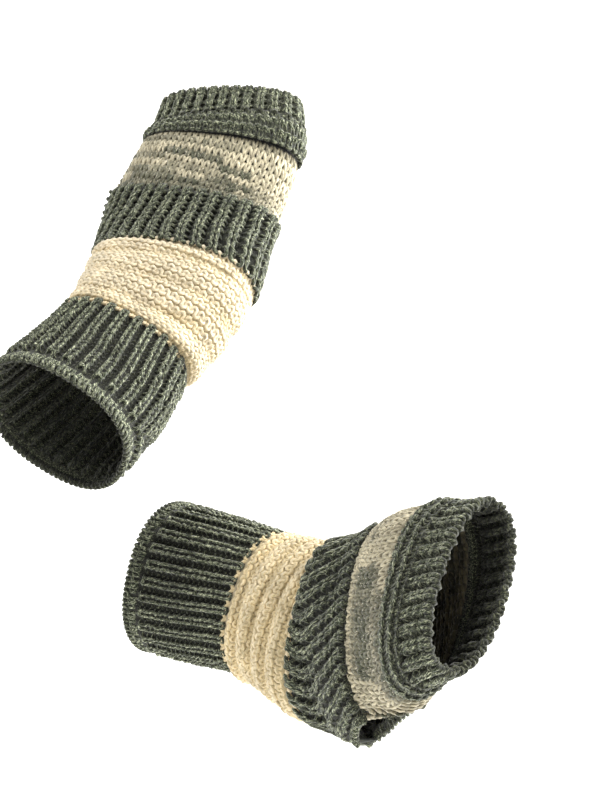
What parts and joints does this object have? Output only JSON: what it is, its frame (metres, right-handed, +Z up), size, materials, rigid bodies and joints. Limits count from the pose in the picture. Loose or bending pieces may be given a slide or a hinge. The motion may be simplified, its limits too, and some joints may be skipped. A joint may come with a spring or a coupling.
{
  "type": "pair of wool gloves",
  "caption": "Pair of long fingerless wool gloves, each a knitted tube with ribbed cuff, soft cream rolls, striped band, open finger edge and a thumb hole.",
  "frame": {"origin": "inside the right glove's wrist, on its centreline, where the right wrist holds it", "axes": "+Z up, +Y away from the side that shows the backs of both hands, +X towards the left hand's fingers"},
  "size_m": [0.2248, 0.2117, 0.2978],
  "materials": {
    "green_wool": "matt melange wool knit, dark olive green with pale flecks",
    "cream_wool": "matt cream wool knit",
    "marl_wool": "matt wool knit, cream broken by grey green streaks"
  },
  "bodies": {
    "root": {"right_cuff": "green_wool", "right_welt_band": "cream_wool", "right_rib_band": "green_wool", "right_marl_band": "marl_wool", "right_finger_band": "green_wool", "left_cuff": "green_wool", "left_welt_band": "cream_wool", "left_rib_band": "green_wool", "left_marl_band": "marl_wool", "left_finger_band": "green_wool"}
  },
  "joints": []
}
